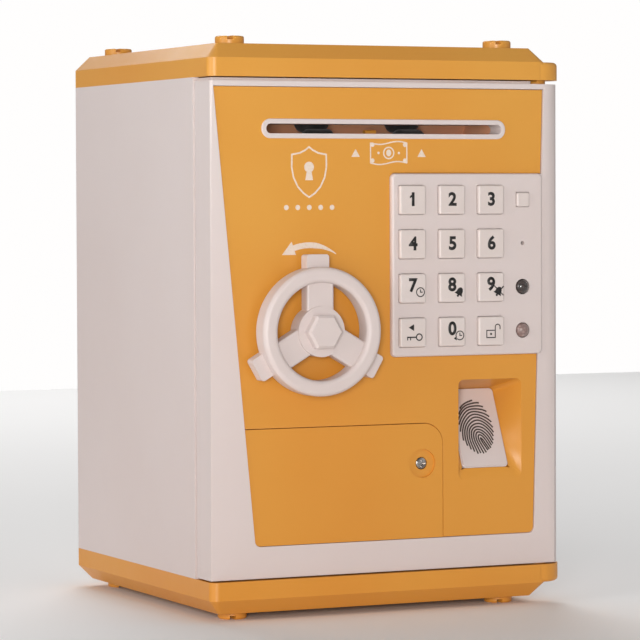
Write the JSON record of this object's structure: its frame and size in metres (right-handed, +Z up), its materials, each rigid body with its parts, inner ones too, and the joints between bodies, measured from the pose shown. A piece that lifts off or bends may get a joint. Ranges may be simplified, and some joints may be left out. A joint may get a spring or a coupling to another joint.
{
  "type": "toy savings bank",
  "caption": "Toy cash-machine money box with a hinged door, keypad, wheel knob and lock bolt, powered note feeder, coin slot, fingerprint rest and battery bay.",
  "frame": {"origin": "middle of the overall box at table level, under the four feet", "axes": "+Z up, -Y out of the door, +X towards the hinge side"},
  "size_m": [0.1304, 0.1362, 0.1902],
  "materials": {
    "orange_plastic": "satin injection-moulded plastic",
    "white_plastic": "satin injection-moulded plastic, warm white",
    "key_plastic": "satin plastic keys, cream white",
    "gear_plastic": "natural nylon",
    "steel": "zinc-plated steel",
    "chrome": "bright plated",
    "black_rubber": "matt moulded rubber",
    "silicone": "translucent silicone sheet",
    "circuit_board": "green solder mask",
    "dark_lens": "dark tinted epoxy lens",
    "red_lens": "brown-red tinted epoxy lens",
    "copper_wire": "enamelled winding",
    "speaker_black": "paper cone in a plastic basket",
    "cell_sleeve": "plain printed sleeve",
    "wire_sleeve": "flexible insulation"
  },
  "bodies": {
    "cabinet": {"body_shell": "white_plastic", "top_cap": "orange_plastic", "bottom_cap": "orange_plastic", "top_studs": "orange_plastic", "feet": "orange_plastic", "hinge_pins": "steel", "cap_screws": "steel", "strike_plate": "steel", "strike_screws": "steel"},
    "door": {"door_frame": "white_plastic", "front_panel": "orange_plastic", "slot_bezel": "white_plastic", "fingerprint_pad": "white_plastic", "back_cover": "white_plastic", "speaker": "speaker_black", "door_screws": "steel", "battery_box": "white_plastic", "battery_cells": "cell_sleeve", "battery_contacts": "steel", "wiring": "wire_sleeve", "keypad_membrane": "silicone", "keypad_board": "circuit_board", "ready_led": "dark_lens", "alarm_led": "red_lens", "solenoid_frame": "steel", "solenoid_coil": "copper_wire", "note_chute": "orange_plastic", "feed_motor": "steel"},
    "knob": {"wheel_knob": "white_plastic", "knob_cap": "white_plastic", "knob_shaft": "steel", "lock_crank": "gear_plastic"},
    "bolt": {"lock_bolt": "gear_plastic"},
    "plunger": {"solenoid_plunger": "steel", "plunger_spring": "steel"},
    "feed_roller": {"feed_shaft": "steel", "feed_rollers": "black_rubber", "feed_gear": "gear_plastic"},
    "pinch_roller": {"pinch_shaft": "steel", "pinch_rollers": "black_rubber", "pinch_gear": "gear_plastic"},
    "idler": {"idler_gear": "gear_plastic"},
    "pinion": {"motor_pinion": "gear_plastic"},
    "lever": {"sensor_lever": "orange_plastic"},
    "battery_door": {"battery_cover": "orange_plastic"},
    "battery_door_screw": {"cover_screw": "chrome"},
    "button_reset": {"reset_button": "key_plastic"},
    "button_1": {"key_1": "key_plastic"},
    "button_2": {"key_2": "key_plastic"},
    "button_3": {"key_3": "key_plastic"},
    "button_4": {"key_4": "key_plastic"},
    "button_5": {"key_5": "key_plastic"},
    "button_6": {"key_6": "key_plastic"},
    "button_7": {"key_7": "key_plastic"},
    "button_8": {"key_8": "key_plastic"},
    "button_9": {"key_9": "key_plastic"},
    "button_back": {"key_back": "key_plastic"},
    "button_0": {"key_0": "key_plastic"},
    "button_unlock": {"key_unlock": "key_plastic"}
  },
  "joints": [
    {"name": "door_hinge", "type": "hinge", "parent": "cabinet", "child": "door", "pos_m": [0.05745, -0.04865, 0.09458], "axis": [0, 0, 1], "range_deg": [0, 180]},
    {"name": "knob_turn", "type": "hinge", "parent": "door", "child": "knob", "pos_m": [-0.0299, -0.05545, 0.0941], "axis": [0, 1, 0], "range_deg": [0, 90]},
    {"name": "bolt_slide", "type": "slide", "parent": "door", "child": "bolt", "axis": [-1, 0, 0], "range_m": [0, 0.0051]},
    {"name": "plunger_pull", "type": "slide", "parent": "door", "child": "plunger", "axis": [0, 0, 1], "range_m": [0, 0.002], "stiffness_N_per_m": 100, "springref_m": -0.002, "deforming": ["plunger_spring"]},
    {"name": "feed_spin", "type": "hinge", "parent": "door", "child": "feed_roller", "pos_m": [-0.001, -0.03845, 0.1555], "axis": [-1, 0, 0], "continuous": true},
    {"name": "pinch_spin", "type": "hinge", "parent": "door", "child": "pinch_roller", "pos_m": [-0.001, -0.03345, 0.1639], "axis": [-1, 0, 0], "continuous": true},
    {"name": "idler_spin", "type": "hinge", "parent": "door", "child": "idler", "pos_m": [-0.001, -0.03845, 0.1441], "axis": [-1, 0, 0], "continuous": true},
    {"name": "pinion_spin", "type": "hinge", "parent": "door", "child": "pinion", "pos_m": [-0.001, -0.03845, 0.13351], "axis": [-1, 0, 0], "continuous": true},
    {"name": "lever_tilt", "type": "hinge", "parent": "door", "child": "lever", "pos_m": [-0.0023, -0.04315, 0.15295], "axis": [-1, 0, 0], "range_deg": [0, 30], "stiffness_Nm_per_rad": 0.0006},
    {"name": "battery_door_off", "type": "slide", "parent": "door", "child": "battery_door", "axis": [0, -1, 0], "range_m": [0, 0.03]},
    {"name": "cover_screw_turn", "type": "hinge", "parent": "battery_door", "child": "battery_door_screw", "pos_m": [0.0111, -0.05545, 0.0492], "axis": [0, -1, 0], "continuous": true},
    {"name": "reset_press", "type": "slide", "parent": "door", "child": "button_reset", "axis": [0, 1, 0], "range_m": [0, 0.0008], "stiffness_N_per_m": 300},
    {"name": "press_1", "type": "slide", "parent": "door", "child": "button_1", "axis": [0, 1, 0], "range_m": [0, 0.0012], "stiffness_N_per_m": 300},
    {"name": "press_2", "type": "slide", "parent": "door", "child": "button_2", "axis": [0, 1, 0], "range_m": [0, 0.0012], "stiffness_N_per_m": 300},
    {"name": "press_3", "type": "slide", "parent": "door", "child": "button_3", "axis": [0, 1, 0], "range_m": [0, 0.0012], "stiffness_N_per_m": 300},
    {"name": "press_4", "type": "slide", "parent": "door", "child": "button_4", "axis": [0, 1, 0], "range_m": [0, 0.0012], "stiffness_N_per_m": 300},
    {"name": "press_5", "type": "slide", "parent": "door", "child": "button_5", "axis": [0, 1, 0], "range_m": [0, 0.0012], "stiffness_N_per_m": 300},
    {"name": "press_6", "type": "slide", "parent": "door", "child": "button_6", "axis": [0, 1, 0], "range_m": [0, 0.0012], "stiffness_N_per_m": 300},
    {"name": "press_7", "type": "slide", "parent": "door", "child": "button_7", "axis": [0, 1, 0], "range_m": [0, 0.0012], "stiffness_N_per_m": 300},
    {"name": "press_8", "type": "slide", "parent": "door", "child": "button_8", "axis": [0, 1, 0], "range_m": [0, 0.0012], "stiffness_N_per_m": 300},
    {"name": "press_9", "type": "slide", "parent": "door", "child": "button_9", "axis": [0, 1, 0], "range_m": [0, 0.0012], "stiffness_N_per_m": 300},
    {"name": "press_back", "type": "slide", "parent": "door", "child": "button_back", "axis": [0, 1, 0], "range_m": [0, 0.0012], "stiffness_N_per_m": 300},
    {"name": "press_0", "type": "slide", "parent": "door", "child": "button_0", "axis": [0, 1, 0], "range_m": [0, 0.0012], "stiffness_N_per_m": 300},
    {"name": "press_unlock", "type": "slide", "parent": "door", "child": "button_unlock", "axis": [0, 1, 0], "range_m": [0, 0.0012], "stiffness_N_per_m": 300}
  ],
  "couplings": [
    {"joint": "bolt_slide", "follows": "knob_turn", "m_per_rad": 0.0032411},
    {"joint": "pinch_spin", "follows": "feed_spin", "ratio": -1},
    {"joint": "idler_spin", "follows": "feed_spin", "ratio": -0.75},
    {"joint": "pinion_spin", "follows": "feed_spin", "ratio": 1.2}
  ]
}
